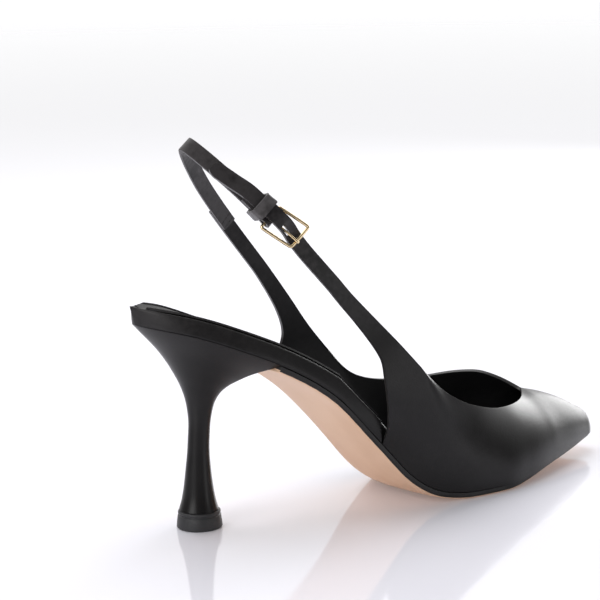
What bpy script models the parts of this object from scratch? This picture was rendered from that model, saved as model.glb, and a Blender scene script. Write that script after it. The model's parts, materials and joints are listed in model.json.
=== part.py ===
"""Slingback pump, the right shoe of a pair, at its real size in metres.

The toe points along +X, +Y is the inner (medial) side and +Z is up. The origin is the
centre of the face that the heel tip stands on. Everything hangs on the feather line, the
curved edge where upper and sole meet: footbed, outsole, heel and upper all read it.
"""
import math
from typing import NamedTuple

import bmesh
import bpy
import numpy as np

# Last and sole
SHOE_LENGTH = 0.2310
HEEL_HEIGHT = 0.085
HEEL_SETBACK = 0.0295
SEAT_WIDTH = 0.0525
BALL_WIDTH = 0.070
SEAT_ROUND = 0.045
REAR_TUCK = 0.0030
TOE_CORNER = 0.0035
TOE_SPRING = 0.0055
OUTSOLE_THICKNESS = 0.003
BAND_THICKNESS = 0.0070
BAND_LEAN = 0.0014
BAND_ROUND = 0.0018
INSOLE_THICKNESS = 0.003
SEAT_DISH = 0.0008
BREAST_PLACE = 0.046
BREAST_HOLLOW = 0.006
SOLE_BELLY = 0.0030
TOE_INSET = 0.0019
TOE_THINNING = 0.50
FLAT_FROM = 0.61
FLAT_TO = 0.68

# Heel
TIP_RADIUS = 0.0091
TIP_TAPER = 0.0008
TIP_HEIGHT = 0.007
TIP_EDGE = 0.0004
NECK_RADIUS = 0.0043

# Upper
UPPER_WALL = 0.0015
FOOT_WALL = 0.0020
VAMP_HEIGHT = 0.0268
INSTEP_HEIGHT = 0.0467
STRAP_ROOT = 0.1120
LATERAL_WING = 0.0975
MEDIAL_WING = 0.0800
LATERAL_WING_LEAN = 27.0
MEDIAL_WING_LEAN = 50.0
WING_SWEEP = 0.15
WING_BLEND = 0.12

# Straps and loop
STRAP_WIDTH = 0.0063
STRAP_DROP = 0.0038
STRAP_RISE = math.radians(49.2)
LOOP_REACH = 0.1270
LOOP_SPREAD = 0.0355
SLING_THICKNESS = 0.0014
FREE_END = 0.1185
MEDIAL_END = 0.0880
SLING_OVERLAP = 0.0100

# Buckle and keeper, with their places measured along the strap from the wing
BAR_PLACE = 0.0885
BUCKLE_LENGTH = 0.0138
BUCKLE_WIDTH = 0.0124
BUCKLE_LEAN = math.radians(9.0)
WIRE_RADIUS = 0.0007
FRAME_CORNER = 0.0010
FRAME_SHIFT = 0.0004
PRONG_RADIUS = 0.00055
PRONG_SLOT = 0.0022
HOLE_PLACE = 0.0080
HOLE_LENGTH = 0.0054
TURN_BACK = 0.0130
KEEPER_PLACE = 0.0939
KEEPER_WIDTH = 0.0048
KEEPER_WALL = 0.0011
KEEPER_CORNER = 0.0006

GAP = 0.0003
LATERAL = -1
MEDIAL = 1


class Footprint(NamedTuple):
    """Feather line: shares of SHOE_LENGTH, the heel's rise, TOE_SPRING and the local width."""

    along: float
    rise: float
    spring: float
    lateral: float
    medial: float


FOOTPRINT = (
    Footprint(0.00, 1.000, 0.00, 0.505, 0.500),
    Footprint(0.08, 0.945, 0.00, 0.505, 0.508),
    Footprint(0.17, 0.845, 0.00, 0.502, 0.497),
    Footprint(0.25, 0.738, 0.00, 0.522, 0.440),
    Footprint(0.33, 0.592, 0.00, 0.532, 0.335),
    Footprint(0.42, 0.322, 0.00, 0.500, 0.220),
    Footprint(0.50, 0.088, 0.00, 0.467, 0.249),
    Footprint(0.55, 0.020, 0.00, 0.468, 0.310),
    Footprint(0.61, 0.000, 0.00, 0.484, 0.405),
    Footprint(0.68, 0.000, 0.00, 0.487, 0.495),
    Footprint(0.75, 0.000, 0.12, 0.427, 0.516),
    Footprint(0.83, 0.000, 0.35, 0.317, 0.435),
    Footprint(0.92, 0.000, 0.63, 0.172, 0.280),
    Footprint(1.00, 0.000, 1.00, 0.034, 0.129),
)


class Rib(NamedTuple):
    """One rib of the upper, from the feather line to the top line.

    foot and top are shares of SHOE_LENGTH, across is a share of BALL_WIDTH, height a share of
    INSTEP_HEIGHT above the feather line, lean and slope are degrees and fullness is a share of
    the rib's chord.
    """

    foot: float
    top: float
    across: float
    height: float
    lean: float
    slope: float
    fullness: float


LATERAL_THROAT = (
    Rib(0.512, 0.486, 0.507, 1.000, 17.5, 90.0, 0.34),
    Rib(0.545, 0.524, 0.491, 0.934, 18.0, 88.0, 0.34),
    Rib(0.590, 0.571, 0.466, 0.843, 18.5, 82.0, 0.35),
    Rib(0.640, 0.624, 0.424, 0.745, 19.0, 72.0, 0.36),
    Rib(0.690, 0.680, 0.362, 0.664, 18.0, 60.0, 0.37),
    Rib(0.740, 0.737, 0.276, 0.617, 17.0, 44.0, 0.39),
    Rib(0.790, 0.793, 0.140, 0.576, 16.0, 24.0, 0.43),
    Rib(0.830, 0.838, -0.025, 0.538, 16.0, 6.0, 0.45),
    Rib(0.862, 0.862, -0.130, 0.535, 16.0, 0.0, 0.43),
)

MEDIAL_THROAT = (
    Rib(0.495, 0.478, 0.507, 1.017, 42.0, 90.0, 0.34),
    Rib(0.530, 0.510, 0.497, 0.905, 36.0, 90.0, 0.34),
    Rib(0.570, 0.548, 0.497, 0.805, 31.0, 89.0, 0.34),
    Rib(0.620, 0.600, 0.500, 0.755, 28.0, 86.0, 0.35),
    Rib(0.670, 0.655, 0.497, 0.725, 24.0, 82.0, 0.36),
    Rib(0.720, 0.710, 0.480, 0.715, 20.0, 76.0, 0.37),
    Rib(0.770, 0.765, 0.435, 0.720, 18.0, 66.0, 0.38),
    Rib(0.810, 0.806, 0.360, 0.712, 17.0, 50.0, 0.40),
    Rib(0.838, 0.840, 0.255, 0.635, 16.0, 28.0, 0.42),
    Rib(0.852, 0.856, 0.190, 0.573, 16.0, 13.0, 0.43),
    Rib(0.862, 0.862, 0.130, 0.535, 16.0, 0.0, 0.43),
)


class Crest(NamedTuple):
    """Ridge of the toe: SHOE_LENGTH, BALL_WIDTH and VAMP_HEIGHT shares, and both walls' lean."""

    along: float
    across: float
    height: float
    lean: float
    fullness: float


CREST = (
    Crest(0.862, 0.130, 0.932, 16.0, 0.43),
    Crest(0.890, 0.118, 0.860, 15.0, 0.43),
    Crest(0.920, 0.101, 0.748, 14.0, 0.43),
    Crest(0.950, 0.083, 0.605, 12.0, 0.42),
    Crest(0.980, 0.066, 0.425, 9.0, 0.40),
    Crest(1.000, 0.052, 0.330, 6.0, 0.38),
)


class WingRoot(NamedTuple):
    """How a wing narrows into its strap, in STRAP_WIDTHs: where its two edges lie along the
    loop, its width and how far its front edge stands before the strap's."""

    step: float
    front: float
    rear: float
    width: float
    edge: float


LATERAL_ROOT = (
    WingRoot(0.0, 0.00, 1.63, 2.05, 0.10),
    WingRoot(1.0, 0.96, 2.23, 1.64, 0.10),
    WingRoot(2.0, 2.17, 3.02, 1.42, 0.10),
    WingRoot(3.0, 3.62, 4.16, 1.24, 0.08),
    WingRoot(4.0, 5.30, 5.60, 1.09, 0.04),
    WingRoot(5.0, 7.00, 7.10, 1.00, 0.00),
)

MEDIAL_ROOT = (
    WingRoot(0.0, 0.42, 2.41, 2.50, -0.16),
    WingRoot(1.0, 1.33, 2.83, 1.90, -0.18),
    WingRoot(2.0, 2.53, 3.62, 1.50, -0.17),
    WingRoot(3.0, 3.98, 4.64, 1.27, -0.12),
    WingRoot(4.0, 5.80, 6.10, 1.11, -0.06),
    WingRoot(5.0, 8.00, 8.10, 1.00, 0.00),
)


class Loop(NamedTuple):
    """Half spread of the strap loop, as a share of LOOP_SPREAD, against LOOP_REACH shares."""

    along: float
    spread: float


LOOP = (
    Loop(0.00, 1.00),
    Loop(0.10, 0.95),
    Loop(0.20, 0.88),
    Loop(0.35, 0.80),
    Loop(0.50, 0.73),
    Loop(0.65, 0.65),
    Loop(0.78, 0.56),
    Loop(0.90, 0.42),
    Loop(1.00, 0.28),
)


class Lift(NamedTuple):
    """Free strap end over the buckle's bar: SLING_THICKNESS shares out, STRAP_WIDTH shares up."""

    along: float
    lift: float
    slip: float


FREE_STRAP = (
    Lift(0.0000, 0.00, 0.00),
    Lift(0.5700, 0.00, 0.10),
    Lift(0.6350, 0.00, 0.19),
    Lift(0.6900, 1.95, 0.23),
    Lift(0.7300, 2.25, 0.21),
    Lift(0.7650, 2.20, 0.19),
    Lift(0.8000, 1.25, 0.15),
    Lift(0.8600, 1.22, 0.11),
    Lift(0.9150, 0.20, 0.00),
    Lift(1.0000, 0.10, -0.20),
)


class Sweep(NamedTuple):
    """Prong over the strap: a share of BUCKLE_LENGTH and a share of its rest on the outer bar."""

    along: float
    height: float


PRONG_SWEEP = (
    Sweep(0.20, 0.85),
    Sweep(0.40, 0.68),
    Sweep(0.60, 0.95),
    Sweep(0.80, 1.20),
    Sweep(1.00, 1.00),
    Sweep(1.08, 0.85),
)


class HeelRing(NamedTuple):
    """Heel section: level and tilt are shares of the seat's height and slope, radius a share of
    NECK_RADIUS, seat the share of the seat's own outline in the section."""

    level: float
    tilt: float
    radius: float
    shift: float
    seat: float


HEEL_RINGS = (
    HeelRing(0.096, 0.00, 1.840, -0.05, 0.00),
    HeelRing(0.155, 0.00, 1.540, -0.03, 0.00),
    HeelRing(0.288, 0.00, 1.210, 0.00, 0.00),
    HeelRing(0.433, 0.00, 1.010, 0.10, 0.00),
    HeelRing(0.537, 0.05, 1.000, 0.24, 0.00),
    HeelRing(0.642, 0.28, 1.230, 0.34, 0.00),
    HeelRing(0.727, 0.62, 1.600, 0.38, 0.03),
    HeelRing(0.805, 0.88, 2.080, 0.40, 0.14),
    HeelRing(0.868, 1.00, 2.280, 0.36, 0.33),
    HeelRing(0.920, 1.00, 2.230, 0.36, 0.58),
    HeelRing(0.965, 1.00, 2.120, 0.38, 0.82),
    HeelRing(1.000, 1.00, 2.000, 0.40, 1.00),
)


def column(rows, name, at):
    """Read one column of a table by a smooth curve that keeps the rows' rises and falls."""
    xs = np.array([row[0] for row in rows])
    ys = np.array([getattr(row, name) for row in rows])
    steps = np.diff(xs)
    slopes = np.diff(ys) / steps
    tangents = np.empty(len(xs))
    tangents[0], tangents[-1] = slopes[0], slopes[-1]
    before, after = slopes[:-1], slopes[1:]
    same = before * after > 0
    safe = np.where(same, before + after, 1.0)
    tangents[1:-1] = np.where(same, 2 * before * after / safe, 0.0)
    at = np.clip(np.asarray(at, dtype=float), xs[0], xs[-1])
    k = np.clip(np.searchsorted(xs, at, side="right") - 1, 0, len(steps) - 1)
    u = (at - xs[k]) / steps[k]
    low = (1 + 2 * u) * (1 - u) ** 2 * ys[k] + u * (1 - u) ** 2 * steps[k] * tangents[k]
    high = u * u * (3 - 2 * u) * ys[k + 1] + u * u * (u - 1) * steps[k] * tangents[k + 1]
    return low + high


def ease(low, high, at):
    """Smooth step from 0 at low to 1 at high."""
    u = np.clip((np.asarray(at, dtype=float) - low) / (high - low), 0.0, 1.0)
    return u * u * (3 - 2 * u)


def unit(vector):
    """The vector at length one."""
    vector = np.asarray(vector, dtype=float)
    return vector / np.linalg.norm(vector)


def corner_cut(distance, radius):
    """How far a round corner stands back at a distance from the end that it turns."""
    rest = max(radius - distance, 0.0)
    return radius - math.sqrt(radius ** 2 - rest ** 2)


def feather_x(along):
    """X of a place on the feather line, from its share of the shoe's length."""
    return along * SHOE_LENGTH - HEEL_SETBACK


def feather_along(x):
    """Share of the shoe's length at an X."""
    return (x + HEEL_SETBACK) / SHOE_LENGTH


def feather_z(along):
    """Height of the feather line, which is the top of the outsole."""
    rise = column(FOOTPRINT, "rise", along) * (HEEL_HEIGHT - OUTSOLE_THICKNESS)
    return float(OUTSOLE_THICKNESS + rise + column(FOOTPRINT, "spring", along) * TOE_SPRING)


def half_width(side, along):
    """Distance of the feather line from the long axis, on one side."""
    name = "lateral" if side == LATERAL else "medial"
    local = SEAT_WIDTH + (BALL_WIDTH - SEAT_WIDTH) * ease(0.30, 0.60, along)
    width = float(column(FOOTPRINT, name, along) * local)
    behind = min(max(along * SHOE_LENGTH - REAR_TUCK, 0.0) / SEAT_ROUND, 1.0)
    seat = (1 - (1 - behind) ** 2) ** 0.65
    return width * seat - corner_cut((1 - along) * SHOE_LENGTH, TOE_CORNER)


def feather(side, along):
    """Point of the feather line on one side."""
    return np.array([feather_x(along), side * half_width(side, along), feather_z(along)])


def feather_normal(along):
    """Direction square to the sole's long curve, in the upright plane."""
    step = 0.002
    low, high = max(along - step, 0.0), min(along + step, 1.0)
    slope = (feather_z(high) - feather_z(low)) / ((high - low) * SHOE_LENGTH)
    return unit([-slope, 0.0, 1.0])


def strap_axes():
    """Directions up the strap's slope and across its width."""
    up = np.array([-math.cos(STRAP_RISE), 0.0, math.sin(STRAP_RISE)])
    wide = np.array([math.sin(STRAP_RISE), 0.0, math.cos(STRAP_RISE)])
    return up, wide


def loop_spread(climb):
    """Half spread of the loop at a height measured up its slope."""
    share = min(max(climb / LOOP_REACH, 0.0), 1.0)
    return float(column(LOOP, "spread", share)) * LOOP_SPREAD * math.sqrt(1 - share ** 8)


def loop_path(samples=240):
    """Climb and side of the loop's lateral half, at even steps of its own length."""
    turn = np.linspace(0.0, 1.0, 4 * samples)
    climb = LOOP_REACH * np.sin(turn * math.pi / 2)
    spread = np.array([loop_spread(c) for c in climb])
    length = np.concatenate([[0.0], np.cumsum(np.hypot(np.diff(climb), np.diff(spread)))])
    even = np.linspace(0.0, length[-1], samples)
    return even, np.interp(even, length, climb), np.interp(even, length, spread)


LOOP_LENGTHS, LOOP_CLIMBS, LOOP_SPREADS = loop_path()
HALF_LOOP = LOOP_LENGTHS[-1]
STRAP_UP, STRAP_WIDE = strap_axes()
STRAP_ORIGIN = np.array([
    STRAP_ROOT - HEEL_SETBACK, 0.0,
    feather_z(STRAP_ROOT / SHOE_LENGTH) + INSTEP_HEIGHT,
]) - STRAP_WIDE * STRAP_DROP


def strap_flat(length):
    """Point and outward direction on the loop's face, at a length from the lateral wing."""
    far = length > HALF_LOOP
    near = 2 * HALF_LOOP - length if far else length
    step = 0.0008
    ends = np.clip([near - step, near, near + step], 0.0, HALF_LOOP)
    climb = np.interp(ends, LOOP_LENGTHS, LOOP_CLIMBS)
    spread = np.interp(ends, LOOP_LENGTHS, LOOP_SPREADS)
    side = MEDIAL if far else LATERAL
    run = STRAP_UP * (climb[2] - climb[0]) + np.array([0.0, side * (spread[2] - spread[0]), 0.0])
    out = unit(np.cross(STRAP_WIDE, run)) * -side
    point = STRAP_ORIGIN + STRAP_UP * climb[1] + np.array([0.0, side * spread[1], 0.0])
    return point, out


def on_strap(length, across, out):
    """Point on or off the loop: along it, up its width and outward from its face."""
    point, normal = strap_flat(length)
    return point + STRAP_WIDE * across + normal * out


def wing_strip(side, share, row):
    """Point of the upper's strap: a share of its width from the rear edge, at a wing-root row."""
    root = LATERAL_ROOT if side == LATERAL else MEDIAL_ROOT
    front = float(column(root, "front", row)) * STRAP_WIDTH
    rear = float(column(root, "rear", row)) * STRAP_WIDTH
    width = float(column(root, "width", row)) * STRAP_WIDTH
    length = rear + (front - rear) * share
    edge = (0.5 + float(column(root, "edge", row))) * STRAP_WIDTH
    across = edge - width * (1 - share)
    return on_strap(length if side == LATERAL else 2 * HALF_LOOP - length, across, 0.0)


def bezier(start, first, second, end, count):
    """Points of a cubic curve from start to end."""
    u = np.linspace(0.0, 1.0, count)[:, None]
    left = (1 - u) ** 3 * start + 3 * u * (1 - u) ** 2 * first
    return left + 3 * u * u * (1 - u) * second + u ** 3 * end


RIB_POINTS = 11
WING_COLUMNS = 5


def strap_way(side, share):
    """Direction in which the upper's strap sets off from its wing."""
    return unit(wing_strip(side, share, 0.35) - wing_strip(side, share, 0.0))


def wing_ribs(side):
    """Ribs that rise from the feather line and run on into the strap."""
    rear = (LATERAL_WING if side == LATERAL else MEDIAL_WING) / SHOE_LENGTH
    throat = LATERAL_THROAT if side == LATERAL else MEDIAL_THROAT
    rear_lean = LATERAL_WING_LEAN if side == LATERAL else MEDIAL_WING_LEAN
    ribs = []
    for share in np.linspace(0.0, 1.0, WING_COLUMNS):
        foot = feather(side, rear + (throat[0].foot - rear) * share)
        top = wing_strip(side, share, 0.0)
        lean = math.radians(rear_lean + (throat[0].lean - rear_lean) * share)
        chord = np.linalg.norm(top - foot)
        rise = np.array([WING_SWEEP, side * math.sin(lean), math.cos(lean)])
        first = foot + rise * chord * 0.34
        second = top - strap_way(side, share) * chord * (0.44 - 0.10 * share)
        ribs.append(bezier(foot, first, second, top, RIB_POINTS))
    return ribs


def throat_rib(side, foot_along):
    """Rib from the feather line to the throat's edge, which takes over from the wing's last rib."""
    rows = LATERAL_THROAT if side == LATERAL else MEDIAL_THROAT
    top_along = float(column(rows, "top", foot_along))
    foot = feather(side, foot_along)
    height = float(column(rows, "height", foot_along)) * INSTEP_HEIGHT
    across = float(column(rows, "across", foot_along)) * BALL_WIDTH
    top = np.array([feather_x(top_along), side * across, feather_z(top_along) + height])
    lean = math.radians(float(column(rows, "lean", foot_along)))
    slope = math.radians(float(column(rows, "slope", foot_along)))
    chord = np.linalg.norm(top - foot) * float(column(rows, "fullness", foot_along))
    wing = 1 - float(ease(rows[0].foot, rows[0].foot + WING_BLEND, foot_along))
    first = foot + chord * np.array([WING_SWEEP * wing, side * math.sin(lean), math.cos(lean)])
    upward = np.array([0.0, -side * math.cos(slope), math.sin(slope)])
    second = top - chord * unit(upward * (1 - wing) + strap_way(side, 1.0) * wing)
    return bezier(foot, first, second, top, RIB_POINTS)


def crest_rib(side, along):
    """Rib over the toe, from the feather line to the ridge."""
    foot = feather(side, along)
    round_end = corner_cut((1 - along) * SHOE_LENGTH, TOE_CORNER)
    height = float(column(CREST, "height", along)) * VAMP_HEIGHT - round_end
    across = float(column(CREST, "across", along)) * BALL_WIDTH
    top = np.array([foot[0], across, foot[2] + height])
    lean = math.radians(float(column(CREST, "lean", along)))
    reach = float(column(CREST, "fullness", along))
    chord = np.linalg.norm(top - foot) * reach
    first = foot + chord * np.array([0.0, side * math.sin(lean), math.cos(lean)])
    second = top + np.array([0.0, side * min(chord, 0.55 * abs(top[1] - foot[1])), 0.0])
    return bezier(foot, first, second, top, RIB_POINTS)


def upper_ribs(side, throat_count=20, crest_count=13):
    """All ribs of one side, from the wing's rear edge to the toe."""
    rows = LATERAL_THROAT if side == LATERAL else MEDIAL_THROAT
    steps = np.linspace(0.0, 1.0, throat_count + 1)[1:]
    shares = (steps + np.sin(steps * math.pi / 2)) / 2
    feet = rows[0].foot + (rows[-1].foot - rows[0].foot) * shares
    ribs = wing_ribs(side) + [throat_rib(side, foot) for foot in feet]
    turns = np.linspace(0.0, math.pi / 2, crest_count + 1)[1:]
    first = rows[-1].foot
    ribs += [crest_rib(side, first + (1 - first) * math.sin(turn)) for turn in turns]
    return ribs


def lateral_strap_point(share, length):
    """Point of the free strap, which rises over the bar and drops to its end."""
    along = length / FREE_END
    lift = float(column(FREE_STRAP, "lift", along)) * SLING_THICKNESS
    slip = float(column(FREE_STRAP, "slip", along)) * STRAP_WIDTH
    left = FREE_END - length
    tip = math.sqrt(max(1 - max(1 - left / (0.5 * STRAP_WIDTH), 0.0) ** 2 * 0.72, 0.0))
    return on_strap(length, slip + (share - 0.5) * STRAP_WIDTH * tip, lift)


def strap_strips(side):
    """Columns of the upper's strap beyond the wing, as rows of points."""
    shares = np.linspace(0.0, 1.0, WING_COLUMNS)
    wing = LATERAL_ROOT if side == LATERAL else MEDIAL_ROOT
    steps = np.linspace(0.0, wing[-1].step, 11)[1:]
    rows = [[wing_strip(side, share, step) for share in shares] for step in steps]
    root = wing[-1].rear * STRAP_WIDTH
    if side == LATERAL:
        lengths = np.concatenate([
            np.linspace(root, FREE_END * 0.58, 6)[1:],
            np.linspace(FREE_END * 0.58, FREE_END * 0.90, 14)[1:],
            np.linspace(FREE_END * 0.90, FREE_END, 7)[1:],
        ])
        rows += [[lateral_strap_point(share, length) for share in shares] for length in lengths]
    else:
        lengths = np.linspace(root, MEDIAL_END, 9)[1:]
        rows += [[on_strap(2 * HALF_LOOP - length, (share - 0.5) * STRAP_WIDTH, 0.0)
                  for share in shares] for length in lengths]
    return np.array(rows)


def object_from(name, verts, faces, material, smooth_angle=40.0):
    """Mesh object whose faces all point outward."""
    mesh = bpy.data.meshes.new(name)
    mesh.from_pydata([tuple(v) for v in verts], [], faces)
    work = bmesh.new()
    work.from_mesh(mesh)
    bmesh.ops.remove_doubles(work, verts=work.verts, dist=1e-6)
    bmesh.ops.recalc_face_normals(work, faces=work.faces)
    work.to_mesh(mesh)
    work.free()
    mesh.shade_smooth()
    mesh.set_sharp_from_angle(angle=math.radians(smooth_angle))
    mesh.materials.append(material)
    body = bpy.data.objects.new(name, mesh)
    PART.objects.link(body)
    return body


def ring_solid(name, rings, material, smooth_angle=40.0):
    """Solid lofted through closed rings of equal count, with a flat face at each end."""
    count = len(rings[0])
    verts = np.concatenate(rings)
    faces = []
    for i in range(len(rings) - 1):
        for j in range(count):
            k = (j + 1) % count
            faces.append((i * count + j, i * count + k, (i + 1) * count + k, (i + 1) * count + j))
    faces.append(tuple(range(count)))
    faces.append(tuple(range((len(rings) - 1) * count, len(rings) * count)))
    return object_from(name, verts, faces, material, smooth_angle)


def skin_mesh(name, verts, faces):
    """Open skin with its doubled points merged and its faces all one way."""
    mesh = bpy.data.meshes.new(name)
    mesh.from_pydata([tuple(v) for v in verts], [], faces)
    work = bmesh.new()
    work.from_mesh(mesh)
    bmesh.ops.remove_doubles(work, verts=work.verts, dist=1e-6)
    bmesh.ops.recalc_face_normals(work, faces=work.faces)
    return mesh, work


def upper_skin():
    """Outer face of the upper: two sides that meet over the toe, each running into its strap."""
    verts, faces = [], []

    def grid(rows):
        rows = np.array(rows)
        start = len(verts)
        verts.extend(rows.reshape(-1, 3))
        tall, wide = rows.shape[:2]
        for i in range(tall - 1):
            for j in range(wide - 1):
                a = start + i * wide + j
                faces.append((a, a + 1, a + wide + 1, a + wide))

    lateral, medial = upper_ribs(LATERAL), upper_ribs(MEDIAL)
    grid(lateral + medial[::-1])
    for side in (LATERAL, MEDIAL):
        root = np.array([[wing_strip(side, share, 0.0) for share in np.linspace(0, 1, WING_COLUMNS)]])
        grid(np.concatenate([root, strap_strips(side)]))
    return verts, faces


def make_upper(material):
    """Upper as one wall: the skin, its inner face and the rims that join them."""
    mesh, work = skin_mesh("upper", *upper_skin())
    work.normal_update()
    feet = [v for v in work.verts if on_feather(v.co)]
    toe = max(work.faces, key=lambda f: f.calc_center_median().x)
    if toe.normal.x < 0:
        bmesh.ops.reverse_faces(work, faces=work.faces)
        work.normal_update()
    foot_marks = {v.index for v in feet}
    work.verts.index_update()
    outer = [np.array(v.co) for v in work.verts]
    normals = [np.array(v.normal) for v in work.verts]
    inner = []
    for i, (point, normal) in enumerate(zip(outer, normals)):
        if i in foot_marks:
            flat = unit([normal[0], normal[1], 0.0])
            inner.append(point - flat * FOOT_WALL)
        else:
            inner.append(point - normal * UPPER_WALL)
    count = len(outer)
    faces = [tuple(v.index for v in f.verts) for f in work.faces]
    shell = list(faces) + [tuple(i + count for i in reversed(face)) for face in faces]
    for edge in work.edges:
        if edge.is_boundary:
            loop = edge.link_loops[0]
            a, b = loop.vert.index, loop.link_loop_next.vert.index
            shell.append((b, a, a + count, b + count))
    work.free()
    bpy.data.meshes.remove(mesh)
    return object_from("upper", outer + inner, shell, material, 50.0)


def on_feather(point):
    """Whether a point lies on the feather line under the upper."""
    along = feather_along(point[0])
    if not 0.3 < along < 1.0001:
        return False
    return abs(point[2] - feather_z(min(along, 1.0))) < 1e-5


def footbed_half(side, along):
    """Half width of the footbed, which steps in behind the upper's wall."""
    wing = (LATERAL_WING if side == LATERAL else MEDIAL_WING) / SHOE_LENGTH
    inset = FOOT_WALL + GAP if along > wing - 0.5 * GAP / SHOE_LENGTH else 0.0
    taper = float(ease(0.75, 0.95, along))
    ahead = min(along + taper * inset / SHOE_LENGTH, 1.0)
    return half_width(side, ahead) - inset * (1 - 0.4 * taper)


def make_footbed(material):
    """Leather-wrapped footbed: a thick band round seat and waist, a thin insole in the toe."""
    lateral_step, medial_step = LATERAL_WING / SHOE_LENGTH, MEDIAL_WING / SHOE_LENGTH
    nudge = GAP / SHOE_LENGTH
    last = 1 - (FOOT_WALL + 2 * GAP) / SHOE_LENGTH
    rear = REAR_TUCK / SHOE_LENGTH
    turn = np.linspace(0.06, 1.0, 9)
    places = list(rear + (0.16 - rear) * (1 - np.cos(turn * math.pi / 2)))
    places += list(np.linspace(0.16, medial_step - 2 * nudge, 8)[1:])
    places += [medial_step - nudge, medial_step]
    places += [lateral_step - nudge, lateral_step]
    places += list(np.linspace(lateral_step, 0.97, 20)[1:])
    places += list(0.97 + (last - 0.97) * np.sin(np.array([0.3, 0.6, 0.85, 1.0]) * math.pi / 2))
    rings = []
    for along in places:
        thick = BAND_THICKNESS + (INSOLE_THICKNESS - BAND_THICKNESS) * float(ease(0.43, 0.56, along))
        dish = SEAT_DISH * float(1 - ease(0.25, 0.45, along))
        normal = band_direction(along)
        base = np.array([feather_x(along), 0.0, feather_z(along)])
        low, high = -footbed_half(LATERAL, along), footbed_half(MEDIAL, along)
        tuck = BAND_LEAN * float(1 - ease(0.34, 0.44, along))
        rings.append(base + footbed_section(low, high, thick, dish, normal, tuck))
    return ring_solid("footbed", rings, material, 50.0)


def band_direction(along):
    """Step up through the band: out over the heel's back, upright beside the wings."""
    square = feather_normal(along)
    upright = float(ease(0.22, MEDIAL_WING / SHOE_LENGTH - 0.005, along))
    way = unit(square + (np.array([0.0, 0.0, 1.0]) - square) * upright)
    tuck = REAR_TUCK / BAND_THICKNESS * float(1 - ease(0.0, 0.20, along))
    return way / (way @ square) - np.array([square[2], 0.0, -square[0]]) * tuck


def footbed_section(low, high, thick, dish, normal, tuck):
    """Ring of a footbed section: flat below, leaning in and rounded above, hollow on top."""
    reach = (high - low) / 2
    soft = min(BAND_ROUND, 0.40 * reach, 0.40 * thick)
    ring = [((high + low) / 2 + v * (reach - 0.25 * soft), 0.0) for v in (-1.0, -0.5, 0.0, 0.5, 1.0)]
    ring.append((high, 0.5 * soft))
    right, left = high - tuck - soft, low + tuck + soft
    for angle in np.radians([0.0, 35.0, 65.0, 90.0]):
        ring.append((right + soft * math.cos(angle), thick - soft + soft * math.sin(angle)))
    for v in (0.8, 0.6, 0.4, 0.2):
        ring.append((left + (right - left) * v, thick - dish * (1 - (2 * v - 1) ** 2)))
    for angle in np.radians([90.0, 115.0, 145.0, 180.0]):
        ring.append((left + soft * math.cos(angle), thick - soft + soft * math.sin(angle)))
    ring.append((low, 0.5 * soft))
    return np.array([np.array([0.0, y, 0.0]) + normal * h for y, h in ring])


def make_outsole(material):
    """Leather outsole from the heel's hollow breast to the toe, flat under the ball."""
    rear = (BREAST_PLACE + GAP) / SHOE_LENGTH
    places = list(np.linspace(rear, FLAT_FROM, 17)) + list(np.linspace(FLAT_TO, 0.97, 12))
    places += list(0.97 + 0.03 * np.sin(np.array([0.35, 0.65, 0.88, 1.0]) * math.pi / 2))
    rings = []
    for along in places:
        hollow = BREAST_HOLLOW / SHOE_LENGTH * float(1 - ease(rear, 0.45, along))
        rings.append(np.array([outsole_point(along + hollow * v * v, v, depth)
                               for v, depth in outsole_section()]))
    return ring_solid("outsole", rings, material, 50.0)


def outsole_point(along, across, depth):
    """Point of the outsole: a share of its half width across, a share of its thickness deep."""
    side = LATERAL if across < 0 else MEDIAL
    span = (half_width(LATERAL, along) + half_width(MEDIAL, along)) / 2
    inset = TOE_INSET * float(ease(0.62, 0.82, along)) * span / (span + TOE_INSET)
    width = (half_width(side, along) - inset) * abs(across)
    above = float(column(FOOTPRINT, "rise", along)) * (HEEL_HEIGHT - OUTSOLE_THICKNESS)
    belly = min(SOLE_BELLY, 0.6 * above) * float(ease(0.30, 0.45, along)) * (1 - across ** 2)
    thick = OUTSOLE_THICKNESS * (1 - TOE_THINNING * float(ease(0.69, 0.85, along)))
    down = GAP + (thick - GAP + belly) * depth
    base = np.array([feather_x(along), side * width, feather_z(along)])
    return base - feather_normal(along) * down


def outsole_section():
    """Shares across and depths of the outsole's section, round its ring."""
    top = [(v, 0.0) for v in (-1.0, -0.6, -0.2, 0.2, 0.6, 1.0)]
    edge = [(1.0, 0.6), (0.985, 0.9)]
    bottom = [(v, 1.0) for v in (0.955, 0.6, 0.2, -0.2, -0.6, -0.955)]
    return top + edge + bottom + [(-v, depth) for v, depth in reversed(edge)]


HEEL_SIDE = 12
HEEL_FRONT = 9
CORNER_ANGLE = math.radians(38.0)


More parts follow.
